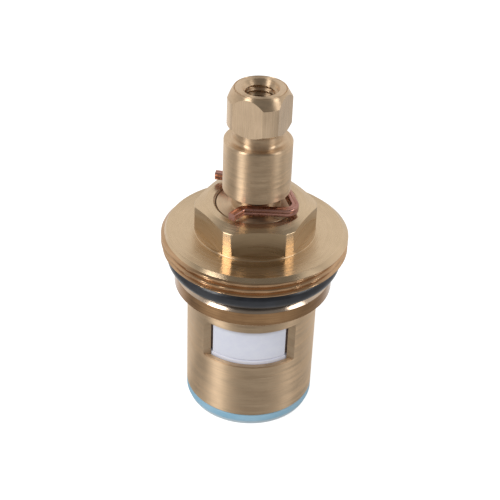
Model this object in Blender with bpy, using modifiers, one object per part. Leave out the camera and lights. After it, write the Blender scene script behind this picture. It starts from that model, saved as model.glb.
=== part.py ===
"""Quarter-turn ceramic disc tap cartridge, modelled piece by piece at its real size.

Metres, +Z up along the spindle. The origin is on the axis at the foot of the base seal, where the
cartridge stands on the seat of the tap. -Y is the side of the front outlet window.
The cartridge is shown closed: the solid halves of the moving disc stand behind the windows.
"""

from math import cos, pi, radians, sin, sqrt, tan

import bmesh
import bpy
from mathutils import Matrix, Vector

MM = 0.001

# Housing, a turned brass body
BODY_DIAMETER = 20.0 * MM
BODY_WALL = 0.75 * MM
LIP_DIAMETER = 24.0 * MM
LIP_THICKNESS = 2.3 * MM
LIP_ABOVE_WINDOW = 2.95 * MM
RING_GROOVE_WIDTH = 4.05 * MM
FLANGE_DIAMETER = 28.0 * MM
FLANGE_THICKNESS = 3.0 * MM
FLANGE_TOP_CHAMFER_WIDTH = 0.8 * MM
FLANGE_TOP_CHAMFER_HEIGHT = 0.5 * MM
FLANGE_THREAD_LEAD_IN = 0.25 * MM
SPANNER_HEX_ACROSS_FLATS = 16.4 * MM
SPANNER_HEX_CORNER_DIAMETER = 18.1 * MM
SPANNER_HEX_HEIGHT = 4.2 * MM
SPANNER_HEX_YAW = radians(4.3)
SPANNER_HEX_TOP_DIAMETER = 14.8 * MM
SPANNER_HEX_CHAMFER_HEIGHT = 0.6 * MM
HEX_BASE_HEIGHT = 0.4 * MM
CHAMBER_SHOULDER_WIDTH = 3.25 * MM
EDGE_BREAK = 0.15 * MM
CHAMBER_MOUTH_CHAMFER = 0.2 * MM
BORE_MOUTH_CHAMFER = 0.3 * MM

# Outlet windows, milled straight across the body
WINDOW_HEIGHT = 6.6 * MM
WINDOW_CUT_DEPTH = 2.8 * MM
WINDOW_YAW = radians(-1.4)
WINDOW_SILL_BELOW_DISC_FACE = 0.6 * MM

# Keyways that hold the fixed disc and the seal
KEYWAY_WIDTH = 3.0 * MM
KEYWAY_DEPTH = 0.35 * MM

# Quarter-turn stops
TURN_ANGLE = radians(90.0)
STOP_RIB_ANGLE = radians(40.0)
STOP_CLEARANCE_ANGLE = radians(1.2)
STOP_RIB_RADIAL_WIDTH = 1.9 * MM

# Ceramic discs
FIXED_DISC_THICKNESS = 3.8 * MM
MOVING_DISC_THICKNESS = 7.9 * MM
MOVING_DISC_CAP = 1.8 * MM
DISC_EDGE_CHAMFER = 0.25 * MM
DISC_HUB_DIAMETER = 5.2 * MM
SOLID_SECTOR_ANGLE = radians(75.0)
PORT_ANGLE = radians(70.0)
PORT_INNER_DIAMETER = 4.4 * MM
PORT_RIM = 1.7 * MM
DRIVE_SLOT_WIDTH = 3.2 * MM
DRIVE_SLOT_END_WALL = 2.8 * MM
DRIVE_SLOT_DEPTH = 2.6 * MM

# Spindle, a turned brass shaft
HANDLE_SQUARE_ACROSS_FLATS = 8.0 * MM
HANDLE_SQUARE_CORNER_DIAMETER = 9.3 * MM
HANDLE_SQUARE_LENGTH = 6.15 * MM
HANDLE_SQUARE_FACE_DIAMETER = 7.65 * MM
HANDLE_SQUARE_CHAMFER_HEIGHT = 1.45 * MM
HANDLE_SQUARE_FOOT_CHAMFER = 0.65 * MM
HANDLE_SQUARE_YAW = radians(-24.5)
NECK_DIAMETER = 7.2 * MM
NECK_LENGTH = 1.8 * MM
NECK_FILLET = 0.5 * MM
STEM_DIAMETER = 10.0 * MM
STEM_LENGTH = 8.15 * MM
CLIP_GROOVE_DIAMETER = 7.3 * MM
CLIP_GROOVE_WIDTH = 2.6 * MM
JOURNAL_BELOW_HEX_TOP = 0.2 * MM
JOURNAL_TOP_CHAMFER = 0.25 * MM
DRIVE_FLANGE_THICKNESS = 1.7 * MM
SCREW_HOLE_DIAMETER = 4.2 * MM
SCREW_HOLE_DEPTH = 10.5 * MM
SCREW_HOLE_COUNTERSINK_DIAMETER = 5.4 * MM
DRILL_POINT_HALF_ANGLE = radians(59.0)

# Rubber rings
BODY_RING_OUTSIDE_DIAMETER = 26.3 * MM
BODY_RING_SECTION = 3.0 * MM
SPINDLE_RING_SECTION = 1.35 * MM
SPINDLE_RING_GROOVE_WIDTH = 2.3 * MM
LOWER_RING_GROOVE_ABOVE_SHOULDER = 2.1 * MM
RING_GROOVE_SPACING = 4.1 * MM

# Spindle clip, bent from square bronze wire
CLIP_WIRE = 1.15 * MM
CLIP_FRONT_LEG = 4.5 * MM
CLIP_REAR_RADIUS = 4.65 * MM
CLIP_REAR_ARC_START = radians(16.0)
CLIP_BEND_RADIUS = 1.5 * MM
CLIP_FRONT_TIP = 3.4 * MM
CLIP_FRONT_FLARE_LENGTH = 1.5 * MM
CLIP_FRONT_FLARE = 1.9 * MM
CLIP_REAR_TIP = 6.2 * MM
CLIP_REAR_FLARE_LENGTH = 3.3 * MM
CLIP_REAR_FLARE = 0.6 * MM

# Base seal and what lies round it
SEAL_PROTRUSION = 2.1 * MM
SEAL_INSERT_HEIGHT = 6.3 * MM
SEAL_COLLAR_CHAMFER_WIDTH = 0.4 * MM
SEAL_COLLAR_CHAMFER_HEIGHT = 1.0 * MM
SEAL_WALL = 1.8 * MM
SEAL_FOOT_WIDTH = 1.3 * MM
SEAL_MOUTH_RISE = 0.5 * MM
SEAL_LUG_ROOT = 1.0 * MM
SUPPORT_RING_WALL = 0.6 * MM
SUPPORT_RING_RECESS = 0.9 * MM
THRUST_WASHER_THICKNESS = 0.5 * MM

# Clearances
SEAT_GAP = 0.1 * MM
SLIDING_GAP = 0.15 * MM
RING_GAP = 0.1 * MM

# Facets round a full turn
BODY_FACETS = 64
SPINDLE_FACETS = 48
RING_SECTION_FACETS = 10
HEX_SIDES = 6
SQUARE_SIDES = 4
DEGREES_PER_FACET = 6.0
NECK_FILLET_STEP = 30.0
NECK_FILLET_POINTS = 4
CUT_MARGIN = 3.0 * MM
WELD_DISTANCE = 0.001 * MM
SHARP_EDGE_ANGLE = radians(30.0)

# Radii that follow
BODY_RADIUS = BODY_DIAMETER / 2
CHAMBER_RADIUS = BODY_RADIUS - BODY_WALL
BORE_RADIUS = CHAMBER_RADIUS - CHAMBER_SHOULDER_WIDTH
JOURNAL_RADIUS = BORE_RADIUS - SLIDING_GAP
DISC_RADIUS = CHAMBER_RADIUS - SLIDING_GAP
STOP_RIB_RADIUS = CHAMBER_RADIUS - STOP_RIB_RADIAL_WIDTH
DRIVE_CORE_RADIUS = STOP_RIB_RADIUS - SLIDING_GAP
WING_RADIUS = CHAMBER_RADIUS - 2 * SLIDING_GAP
BODY_RING_RADIUS = (BODY_RING_OUTSIDE_DIAMETER - BODY_RING_SECTION) / 2
RING_GROOVE_RADIUS = BODY_RING_RADIUS - BODY_RING_SECTION / 2 - RING_GAP
SPINDLE_RING_RADIUS = BORE_RADIUS - RING_GAP - SPINDLE_RING_SECTION / 2
SPINDLE_RING_GROOVE_RADIUS = SPINDLE_RING_RADIUS - SPINDLE_RING_SECTION / 2 - RING_GAP
DRIVE_SLOT_REACH = DISC_RADIUS - DRIVE_SLOT_END_WALL
SEAL_BORE_RADIUS = DISC_RADIUS - SEAL_WALL
SUPPORT_RING_RADIUS = SEAL_BORE_RADIUS - SEAT_GAP

# Heights that follow, from the foot of the seal up
BODY_BASE_Z = SEAL_PROTRUSION
SEAL_TOP_Z = BODY_BASE_Z + SEAL_INSERT_HEIGHT
FIXED_DISC_Z = SEAL_TOP_Z + SEAT_GAP
DISC_FACE_Z = FIXED_DISC_Z + FIXED_DISC_THICKNESS
MOVING_DISC_Z = DISC_FACE_Z + SEAT_GAP
MOVING_DISC_TOP_Z = MOVING_DISC_Z + MOVING_DISC_THICKNESS
DRIVE_FLANGE_Z = MOVING_DISC_TOP_Z + SEAT_GAP
DRIVE_FLANGE_TOP_Z = DRIVE_FLANGE_Z + DRIVE_FLANGE_THICKNESS
WASHER_Z = DRIVE_FLANGE_TOP_Z + SEAT_GAP
SHOULDER_Z = WASHER_Z + THRUST_WASHER_THICKNESS + SEAT_GAP
WINDOW_SILL_Z = DISC_FACE_Z - WINDOW_SILL_BELOW_DISC_FACE
WINDOW_TOP_Z = WINDOW_SILL_Z + WINDOW_HEIGHT
LIP_Z = WINDOW_TOP_Z + LIP_ABOVE_WINDOW
LIP_TOP_Z = LIP_Z + LIP_THICKNESS
FLANGE_Z = LIP_TOP_Z + RING_GROOVE_WIDTH
FLANGE_TOP_Z = FLANGE_Z + FLANGE_THICKNESS
HEX_FLATS_Z = FLANGE_TOP_Z + HEX_BASE_HEIGHT
HOUSING_TOP_Z = HEX_FLATS_Z + SPANNER_HEX_HEIGHT
JOURNAL_TOP_Z = HOUSING_TOP_Z - JOURNAL_BELOW_HEX_TOP
STEM_Z = JOURNAL_TOP_Z + CLIP_GROOVE_WIDTH
STEM_TOP_Z = STEM_Z + STEM_LENGTH
HANDLE_SQUARE_Z = STEM_TOP_Z + NECK_LENGTH
SPINDLE_TOP_Z = HANDLE_SQUARE_Z + HANDLE_SQUARE_LENGTH
LOWER_RING_Z = SHOULDER_Z + LOWER_RING_GROOVE_ABOVE_SHOULDER
UPPER_RING_Z = LOWER_RING_Z + RING_GROOVE_SPACING

FRONT = radians(-90.0)
BACK = radians(90.0)
RIGHT = 0.0
LEFT = radians(180.0)


def clear_scene():
    for obj in list(bpy.data.objects):
        bpy.data.objects.remove(obj)


def new_collection(name):
    collection = bpy.data.collections.new(name)
    bpy.context.scene.collection.children.link(collection)
    return collection


def link(obj, collection):
    for owner in list(obj.users_collection):
        owner.objects.unlink(obj)
    collection.objects.link(obj)
    return obj


def material(name, colour, roughness, metallic):
    made = bpy.data.materials.new(name)
    made.use_nodes = True
    shader = made.node_tree.nodes["Principled BSDF"]
    shader.inputs["Base Color"].default_value = (*colour, 1.0)
    shader.inputs["Roughness"].default_value = roughness
    shader.inputs["Metallic"].default_value = metallic
    return made


def turned(name, profile, facets, closed, collection):
    """A solid of revolution about Z. The profile of (radius, height) runs down its outer side."""
    mesh = bpy.data.meshes.new(name)
    points = [(radius, 0.0, height) for radius, height in profile]
    edges = [(i, i + 1) for i in range(len(points) - 1)]
    if closed:
        edges.append((len(points) - 1, 0))
    mesh.from_pydata(points, edges, [])
    obj = bpy.data.objects.new(name, mesh)
    collection.objects.link(obj)
    screw = obj.modifiers.new("Turn", "SCREW")
    screw.axis = "Z"
    screw.angle = 2 * pi
    screw.steps = facets
    screw.render_steps = facets
    screw.use_merge_vertices = True
    screw.merge_threshold = WELD_DISTANCE
    return obj


def plate(name, outline, low, high, collection):
    """A flat outline of (x, y) points, filled and extruded from height low to height high."""
    curve = bpy.data.curves.new(name + "_outline", "CURVE")
    curve.dimensions = "2D"
    curve.fill_mode = "BOTH"
    curve.extrude = (high - low) / 2
    spline = curve.splines.new("POLY")
    spline.points.add(len(outline) - 1)
    for point, (x, y) in zip(spline.points, outline):
        point.co = (x, y, 0.0, 1.0)
    spline.use_cyclic_u = True
    drawn = bpy.data.objects.new(name + "_drawn", curve)
    drawn.location.z = (low + high) / 2
    collection.objects.link(drawn)
    return as_mesh(name, drawn, collection)


def as_mesh(name, drawn, collection):
    """Makes a curve object a mesh object with its caps welded, and removes the curve."""
    bpy.context.view_layer.update()
    graph = bpy.context.evaluated_depsgraph_get()
    mesh = bpy.data.meshes.new_from_object(drawn.evaluated_get(graph))
    welded = bmesh.new()
    welded.from_mesh(mesh)
    bmesh.ops.remove_doubles(welded, verts=welded.verts, dist=WELD_DISTANCE)
    bmesh.ops.recalc_face_normals(welded, faces=welded.faces)
    welded.to_mesh(mesh)
    welded.free()
    obj = bpy.data.objects.new(name, mesh)
    obj.matrix_world = drawn.matrix_world
    collection.objects.link(obj)
    bpy.data.objects.remove(drawn)
    return obj


def block(name, low, high, collection):
    """A box between two corners."""
    low, high = Vector(low), Vector(high)
    mesh = bpy.data.meshes.new(name)
    made = bmesh.new()
    bmesh.ops.create_cube(made, size=1.0)
    size = high - low
    bmesh.ops.transform(made, matrix=Matrix.Diagonal((*size, 1.0)), verts=made.verts)
    made.to_mesh(mesh)
    made.free()
    obj = bpy.data.objects.new(name, mesh)
    obj.location = (low + high) / 2
    collection.objects.link(obj)
    return obj


def rubber_ring(name, radius, section, facets, height, collection):
    bpy.ops.mesh.primitive_torus_add(
        major_segments=facets,
        minor_segments=RING_SECTION_FACETS,
        major_radius=radius,
        minor_radius=section / 2,
        location=(0.0, 0.0, height),
    )
    obj = bpy.context.object
    obj.name = name
    obj.data.name = name
    return link(obj, collection)


def combine(obj, other, operation):
    """Adds a Boolean of obj with other, which then counts as a tool and not as a piece."""
    boolean = obj.modifiers.new(operation.title() + "_" + other.name, "BOOLEAN")
    boolean.operation = operation
    boolean.solver = "EXACT"
    boolean.object = other
    other.hide_render = True
    other.display_type = "WIRE"


def arc(radius, start, end):
    """Points along an arc of the given radius from angle start to angle end."""
    count = max(2, round(abs(end - start) / radians(DEGREES_PER_FACET)))
    angles = [start + (end - start) * i / count for i in range(count + 1)]
    return [(radius * cos(a), radius * sin(a)) for a in angles]


def sector(inner, outer, centre, width):
    """Outline of a ring's sector, centred on an angle."""
    start, end = centre - width / 2, centre + width / 2
    return arc(outer, start, end) + arc(inner, end, start)


def flats_cutter(name, sides, across_flats, low, high, collection):
    """A ring with a hole of so many flat sides, one corner of it along +X: it mills the flats."""
    inner = across_flats / 2 / cos(pi / sides)
    outer = across_flats
    profile = [(outer, high), (outer, low), (inner, low), (inner, high)]
    return turned(name, profile, sides, True, collection)


def housing_profile():
    spanner_corner = SPANNER_HEX_CORNER_DIAMETER / 2
    spanner_top = SPANNER_HEX_TOP_DIAMETER / 2
    flange = FLANGE_DIAMETER / 2
    lip = LIP_DIAMETER / 2
    return [
        (BORE_RADIUS + EDGE_BREAK, HOUSING_TOP_Z),
        (spanner_top, HOUSING_TOP_Z),
        (spanner_corner, HOUSING_TOP_Z - SPANNER_HEX_CHAMFER_HEIGHT),
        (spanner_corner, FLANGE_TOP_Z),
        (flange - FLANGE_TOP_CHAMFER_WIDTH, FLANGE_TOP_Z),
        (flange, FLANGE_TOP_Z - FLANGE_TOP_CHAMFER_HEIGHT),
        (flange, FLANGE_Z + FLANGE_THREAD_LEAD_IN),
        (flange - FLANGE_THREAD_LEAD_IN, FLANGE_Z),
        (RING_GROOVE_RADIUS, FLANGE_Z),
        (RING_GROOVE_RADIUS, LIP_TOP_Z),
        (lip - EDGE_BREAK, LIP_TOP_Z),
        (lip, LIP_TOP_Z - EDGE_BREAK),
        (lip, LIP_Z + EDGE_BREAK),
        (lip - EDGE_BREAK, LIP_Z),
        (BODY_RADIUS, LIP_Z),
        (BODY_RADIUS, BODY_BASE_Z + EDGE_BREAK),
        (BODY_RADIUS - EDGE_BREAK, BODY_BASE_Z),
        (CHAMBER_RADIUS + CHAMBER_MOUTH_CHAMFER, BODY_BASE_Z),
        (CHAMBER_RADIUS, BODY_BASE_Z + CHAMBER_MOUTH_CHAMFER),
        (CHAMBER_RADIUS, SHOULDER_Z),
        (BORE_RADIUS + BORE_MOUTH_CHAMFER, SHOULDER_Z),
        (BORE_RADIUS, SHOULDER_Z + BORE_MOUTH_CHAMFER),
        (BORE_RADIUS, HOUSING_TOP_Z - EDGE_BREAK),
    ]


def build_housing(parts, tools):
    """Turned body with milled spanner flats, outlet windows, keyways and stop ribs."""
    housing = turned("brass_housing", housing_profile(), BODY_FACETS, True, parts)
    flats = flats_cutter(
        "spanner_flats_cutter",
        HEX_SIDES,
        SPANNER_HEX_ACROSS_FLATS,
        HEX_FLATS_Z,
        HOUSING_TOP_Z + CUT_MARGIN,
        tools,
    )
    flats.rotation_euler.z = SPANNER_HEX_YAW
    combine(housing, flats, "DIFFERENCE")
    chord = BODY_RADIUS - WINDOW_CUT_DEPTH
    reach = BODY_RADIUS + CUT_MARGIN
    for side, name in ((-1, "front"), (1, "back")):
        y_low, y_high = sorted((side * chord, side * reach))
        window = block(
            name + "_window_cutter",
            (-reach, y_low, WINDOW_SILL_Z),
            (reach, y_high, WINDOW_TOP_Z),
            tools,
        )
        window.rotation_euler.z = WINDOW_YAW
        combine(housing, window, "DIFFERENCE")
    for side, name in ((-1, "left"), (1, "right")):
        x_low, x_high = sorted((0.0, side * (CHAMBER_RADIUS + KEYWAY_DEPTH)))
        keyway = block(
            name + "_keyway_cutter",
            (x_low, -KEYWAY_WIDTH / 2, BODY_BASE_Z - CUT_MARGIN),
            (x_high, KEYWAY_WIDTH / 2, DISC_FACE_Z + SEAT_GAP),
            tools,
        )
        combine(housing, keyway, "DIFFERENCE")
    for centre, name in ((0.0, "first"), (pi, "second")):
        rib = plate(
            name + "_stop_rib",
            sector(
                STOP_RIB_RADIUS,
                CHAMBER_RADIUS + BODY_WALL / 2,
                centre + BACK - TURN_ANGLE / 2,
                STOP_RIB_ANGLE,
            ),
            DRIVE_FLANGE_Z + 2 * SEAT_GAP,
            SHOULDER_Z + LIP_THICKNESS / 2,
            tools,
        )
        combine(housing, rib, "UNION")
    return housing


def spindle_profile():
    top = SPINDLE_TOP_Z
    hole = SCREW_HOLE_DIAMETER / 2
    sink = SCREW_HOLE_COUNTERSINK_DIAMETER / 2
    square_corner = HANDLE_SQUARE_CORNER_DIAMETER / 2
    neck = NECK_DIAMETER / 2
    stem = STEM_DIAMETER / 2
    clip_groove = CLIP_GROOVE_DIAMETER / 2
    hole_floor = top - SCREW_HOLE_DEPTH
    profile = [
        (0.0, hole_floor - hole / tan(DRILL_POINT_HALF_ANGLE)),
        (hole, hole_floor),
        (hole, top - (sink - hole)),
        (sink, top),
        (HANDLE_SQUARE_FACE_DIAMETER / 2, top),
        (square_corner, top - HANDLE_SQUARE_CHAMFER_HEIGHT),
        (square_corner, HANDLE_SQUARE_Z + HANDLE_SQUARE_FOOT_CHAMFER),
        (square_corner - HANDLE_SQUARE_FOOT_CHAMFER, HANDLE_SQUARE_Z),
        (neck, HANDLE_SQUARE_Z),
        *neck_fillet(neck),
        (stem - EDGE_BREAK, STEM_TOP_Z),
        (stem, STEM_TOP_Z - EDGE_BREAK),
        (stem, STEM_Z + EDGE_BREAK),
        (stem - EDGE_BREAK, STEM_Z),
        (clip_groove, STEM_Z),
        (clip_groove, JOURNAL_TOP_Z),
        (JOURNAL_RADIUS - JOURNAL_TOP_CHAMFER, JOURNAL_TOP_Z),
        (JOURNAL_RADIUS, JOURNAL_TOP_Z - JOURNAL_TOP_CHAMFER),
    ]
    for centre in (UPPER_RING_Z, LOWER_RING_Z):
        upper = centre + SPINDLE_RING_GROOVE_WIDTH / 2
        lower = centre - SPINDLE_RING_GROOVE_WIDTH / 2
        profile += [
            (JOURNAL_RADIUS, upper),
            (SPINDLE_RING_GROOVE_RADIUS, upper),
            (SPINDLE_RING_GROOVE_RADIUS, lower),
            (JOURNAL_RADIUS, lower),
        ]
    inside_flange = DRIVE_FLANGE_Z + DRIVE_FLANGE_THICKNESS / 2
    profile += [(JOURNAL_RADIUS, inside_flange), (0.0, inside_flange)]
    return profile


def neck_fillet(neck):
    """Quarter arc from the neck into the stem's top face."""
    return [
        (neck + NECK_FILLET * (1 - cos(angle)), STEM_TOP_Z + NECK_FILLET * (1 - sin(angle)))
        for angle in (radians(NECK_FILLET_STEP * i) for i in range(NECK_FILLET_POINTS))
    ]


def drive_flange_outline():
    """A round flange with two wings, which meet the stop ribs of the housing."""
    wing = pi - TURN_ANGLE - STOP_RIB_ANGLE - 2 * STOP_CLEARANCE_ANGLE
    outline = []
    for centre in (BACK, BACK + pi):
        outline += arc(WING_RADIUS, centre - wing / 2, centre + wing / 2)
        outline += arc(DRIVE_CORE_RADIUS, centre + wing / 2, centre + pi - wing / 2)
    return outline


def build_spindle(parts, tools):
    """Turned shaft with the handle's square on top and the drive tongue below."""
    spindle = turned("spindle", spindle_profile(), SPINDLE_FACETS, False, parts)
    flats = flats_cutter(
        "handle_flats_cutter",
        SQUARE_SIDES,
        HANDLE_SQUARE_ACROSS_FLATS,
        HANDLE_SQUARE_Z,
        SPINDLE_TOP_Z + CUT_MARGIN,
        tools,
    )
    flats.rotation_euler.z = HANDLE_SQUARE_YAW + pi / SQUARE_SIDES
    combine(spindle, flats, "DIFFERENCE")
    flange = plate(
        "drive_flange", drive_flange_outline(), DRIVE_FLANGE_Z, DRIVE_FLANGE_TOP_Z, tools
    )
    combine(spindle, flange, "UNION")
    half_width = DRIVE_SLOT_WIDTH / 2 - SLIDING_GAP
    half_length = DRIVE_SLOT_REACH - SLIDING_GAP
    tongue = block(
        "drive_tongue",
        (-half_width, -half_length, MOVING_DISC_TOP_Z - DRIVE_SLOT_DEPTH + SEAT_GAP),
        (half_width, half_length, DRIVE_FLANGE_Z + DRIVE_FLANGE_THICKNESS / 2),
        tools,
    )
    combine(spindle, tongue, "UNION")
    return spindle


def clip_path():
    """Plan of the clip's centreline: front leg, tight bend on the right, curved rear leg.

    The straight run between the bend and the rear leg's arc is tangent to both.
    """
    bend = CLIP_BEND_RADIUS
    start = CLIP_REAR_ARC_START
    centre_y = bend - CLIP_FRONT_LEG
    centre_x = (CLIP_REAR_RADIUS - bend - centre_y * sin(start)) / cos(start)
    front_leg = [
        (-CLIP_FRONT_TIP, -CLIP_FRONT_LEG - CLIP_FRONT_FLARE),
        (-CLIP_FRONT_TIP + CLIP_FRONT_FLARE_LENGTH, -CLIP_FRONT_LEG),
    ]
    front_bend = [(centre_x + x, centre_y + y) for x, y in arc(bend, FRONT, start)]
    rear_leg = [
        (-CLIP_REAR_TIP + CLIP_REAR_FLARE_LENGTH, CLIP_REAR_RADIUS),
        (-CLIP_REAR_TIP, CLIP_REAR_RADIUS + CLIP_REAR_FLARE),
    ]
    return front_leg + front_bend + arc(CLIP_REAR_RADIUS, start, BACK) + rear_leg


def build_clip(parts):
    """Square wire, bent flat. Four facets turned by an eighth of a turn make its square."""
    curve = bpy.data.curves.new("spindle_clip", "CURVE")
    curve.dimensions = "3D"
    curve.twist_mode = "Z_UP"
    curve.bevel_depth = CLIP_WIRE / sqrt(2.0)
    curve.bevel_resolution = 0
    curve.use_fill_caps = True
    points = clip_path()
    spline = curve.splines.new("POLY")
    spline.points.add(len(points) - 1)
    for point, (x, y) in zip(spline.points, points):
        point.co = (x, y, 0.0, 1.0)
        point.tilt = pi / 4
    clip = bpy.data.objects.new("spindle_clip", curve)
    clip.location.z = (JOURNAL_TOP_Z + STEM_Z) / 2
    parts.objects.link(clip)
    return clip


def build_moving_disc(parts, tools):
    """Thick ceramic disc whose two side recesses join the ports to the windows when open."""
    edge = DISC_EDGE_CHAMFER
    profile = [
        (0.0, MOVING_DISC_TOP_Z),
        (DISC_RADIUS - edge, MOVING_DISC_TOP_Z),
        (DISC_RADIUS, MOVING_DISC_TOP_Z - edge),
        (DISC_RADIUS, MOVING_DISC_Z + edge),
        (DISC_RADIUS - edge, MOVING_DISC_Z),
        (0.0, MOVING_DISC_Z),
    ]
    disc = turned("moving_ceramic_disc", profile, BODY_FACETS, False, parts)
    for centre, name in ((RIGHT, "right"), (LEFT, "left")):
        recess = plate(
            name + "_recess_cutter",
            sector(
                DISC_HUB_DIAMETER / 2, DISC_RADIUS + CUT_MARGIN, centre, pi - SOLID_SECTOR_ANGLE
            ),
            MOVING_DISC_Z - CUT_MARGIN,
            MOVING_DISC_TOP_Z - MOVING_DISC_CAP,
            tools,
        )
        combine(disc, recess, "DIFFERENCE")
    slot = block(
        "drive_slot_cutter",
        (-DRIVE_SLOT_WIDTH / 2, -DRIVE_SLOT_REACH, MOVING_DISC_TOP_Z - DRIVE_SLOT_DEPTH),
        (DRIVE_SLOT_WIDTH / 2, DRIVE_SLOT_REACH, MOVING_DISC_TOP_Z + CUT_MARGIN),
        tools,
    )
    combine(disc, slot, "DIFFERENCE")
    return disc


def key_lugs(obj, name, low, high, root_radius, tools):
    """Two lugs that fit the keyways of the housing."""
    half_width = KEYWAY_WIDTH / 2 - SLIDING_GAP
    tip = CHAMBER_RADIUS + KEYWAY_DEPTH - SLIDING_GAP
    for side, word in ((-1, "left"), (1, "right")):
        x_low, x_high = sorted((side * root_radius, side * tip))
        corners = ((x_low, -half_width, low), (x_high, half_width, high))
        combine(obj, block(f"{name}_{word}_lug", *corners, tools), "UNION")


def build_fixed_disc(parts, tools):
    """Ceramic disc with two ports under the windows, keyed to the housing."""
    edge = DISC_EDGE_CHAMFER
    profile = [
        (0.0, DISC_FACE_Z),
        (DISC_RADIUS - edge, DISC_FACE_Z),
        (DISC_RADIUS, DISC_FACE_Z - edge),
        (DISC_RADIUS, FIXED_DISC_Z + edge),
        (DISC_RADIUS - edge, FIXED_DISC_Z),
        (0.0, FIXED_DISC_Z),
    ]
    disc = turned("fixed_ceramic_disc", profile, BODY_FACETS, False, parts)
    root = DISC_RADIUS - PORT_RIM
    key_lugs(disc, "fixed_disc", FIXED_DISC_Z + edge, DISC_FACE_Z - edge, root, tools)
    for centre, name in ((FRONT, "front"), (BACK, "back")):
        port = plate(
            name + "_port_cutter",
            sector(PORT_INNER_DIAMETER / 2, DISC_RADIUS - PORT_RIM, centre, PORT_ANGLE),
            FIXED_DISC_Z - CUT_MARGIN,
            DISC_FACE_Z + CUT_MARGIN,
            tools,
        )
        combine(disc, port, "DIFFERENCE")
    return disc


def build_seal(parts, tools):
    """Soft stepped ring: its collar covers the foot of the housing and stands on the tap's seat."""
    collar = BODY_RADIUS
    collar_top = BODY_BASE_Z - SEAT_GAP
    bore = SEAL_BORE_RADIUS
    foot = collar - SEAL_COLLAR_CHAMFER_WIDTH
    profile = [
        (bore, SEAL_TOP_Z),
        (DISC_RADIUS, SEAL_TOP_Z),
        (DISC_RADIUS, collar_top),
        (collar, collar_top),
        (collar, SEAL_COLLAR_CHAMFER_HEIGHT),
        (foot, 0.0),
        (foot - SEAL_FOOT_WIDTH, 0.0),
        (bore, SEAL_MOUTH_RISE),
    ]
    seal = turned("base_seal", profile, BODY_FACETS, True, parts)
    root = bore + SEAL_LUG_ROOT
    key_lugs(seal, "seal", BODY_BASE_Z + SEAT_GAP, SEAL_TOP_Z - SEAT_GAP, root, tools)
    return seal


def ring(name, inner, outer, low, high, facets, parts):
    """A plain flat or tall ring."""
    profile = [(inner, high), (outer, high), (outer, low), (inner, low)]
    return turned(name, profile, facets, True, parts)


def build_model():
    clear_scene()
    parts = new_collection("ceramic_disc_cartridge")
    tools = new_collection("cutters_and_added_shapes")
    brass = material("brass", (0.62, 0.47, 0.29), 0.28, 1.0)
    bronze = material("bronze_wire", (0.62, 0.32, 0.24), 0.3, 1.0)
    rubber = material("black_rubber", (0.02, 0.02, 0.025), 0.55, 0.0)
    ceramic = material("white_ceramic", (0.82, 0.83, 0.9), 0.3, 0.0)
    silicone = material("blue_silicone", (0.3, 0.55, 0.72), 0.45, 0.0)
    plastic = material("white_acetal", (0.78, 0.78, 0.76), 0.45, 0.0)
    steel = material("stainless_steel", (0.6, 0.6, 0.6), 0.3, 1.0)
    washer = ring(
        "thrust_washer",
        JOURNAL_RADIUS + SLIDING_GAP,
        DRIVE_CORE_RADIUS,
        WASHER_Z,
        WASHER_Z + THRUST_WASHER_THICKNESS,
        SPINDLE_FACETS,
        parts,
    )
    support = ring(
        "seal_support_ring",
        SUPPORT_RING_RADIUS - SUPPORT_RING_WALL,
        SUPPORT_RING_RADIUS,
        SUPPORT_RING_RECESS,
        SEAL_TOP_Z,
        SPINDLE_FACETS,
        parts,
    )
    body_ring_z = FLANGE_Z - RING_GAP - BODY_RING_SECTION / 2
    body_ring = rubber_ring(
        "body_o_ring", BODY_RING_RADIUS, BODY_RING_SECTION, BODY_FACETS, body_ring_z, parts
    )
    spindle_rings = [
        rubber_ring(name, SPINDLE_RING_RADIUS, SPINDLE_RING_SECTION, SPINDLE_FACETS, z, parts)
        for name, z in (
            ("upper_spindle_o_ring", UPPER_RING_Z),
            ("lower_spindle_o_ring", LOWER_RING_Z),
        )
    ]
    made = {
        brass: [build_housing(parts, tools), build_spindle(parts, tools)],
        bronze: [build_clip(parts)],
        rubber: [body_ring, *spindle_rings],
        ceramic: [build_moving_disc(parts, tools), build_fixed_disc(parts, tools)],
        silicone: [build_seal(parts, tools)],
        plastic: [washer],
        steel: [support],
    }
    for finish, pieces in made.items():
        for piece in pieces:
            piece.data.materials.append(finish)
            if piece.type == "MESH" and piece.data.polygons:
                piece.data.shade_smooth()
                piece.data.set_sharp_from_angle(angle=SHARP_EDGE_ANGLE)


build_model()
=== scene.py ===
"""Quarter-turn ceramic disc tap cartridge: its looks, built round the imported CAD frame.

Lengths are written in millimetres and made metres by MM. Heights count from the foot of the base
seal, as in the CAD. -Y is the side of the front outlet window, which faces the camera.
"""

from math import cos, pi, radians, sin, sqrt, tan

import bmesh
import bpy
from mathutils import Matrix, Vector


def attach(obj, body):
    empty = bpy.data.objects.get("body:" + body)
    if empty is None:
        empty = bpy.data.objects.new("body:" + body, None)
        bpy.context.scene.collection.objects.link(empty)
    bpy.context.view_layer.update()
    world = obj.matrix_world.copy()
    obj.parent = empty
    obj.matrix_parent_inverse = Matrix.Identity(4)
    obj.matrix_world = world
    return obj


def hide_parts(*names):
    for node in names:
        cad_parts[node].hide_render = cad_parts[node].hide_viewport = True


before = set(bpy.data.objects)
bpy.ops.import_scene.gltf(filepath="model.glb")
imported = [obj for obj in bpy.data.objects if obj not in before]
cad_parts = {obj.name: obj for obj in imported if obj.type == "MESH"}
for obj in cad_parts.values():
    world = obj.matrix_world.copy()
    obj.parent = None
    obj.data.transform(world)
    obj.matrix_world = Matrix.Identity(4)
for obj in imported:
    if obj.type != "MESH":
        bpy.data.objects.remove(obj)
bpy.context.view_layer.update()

MM = 0.001
WELD = 0.0005 * MM
SHARP = radians(28.0)

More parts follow.
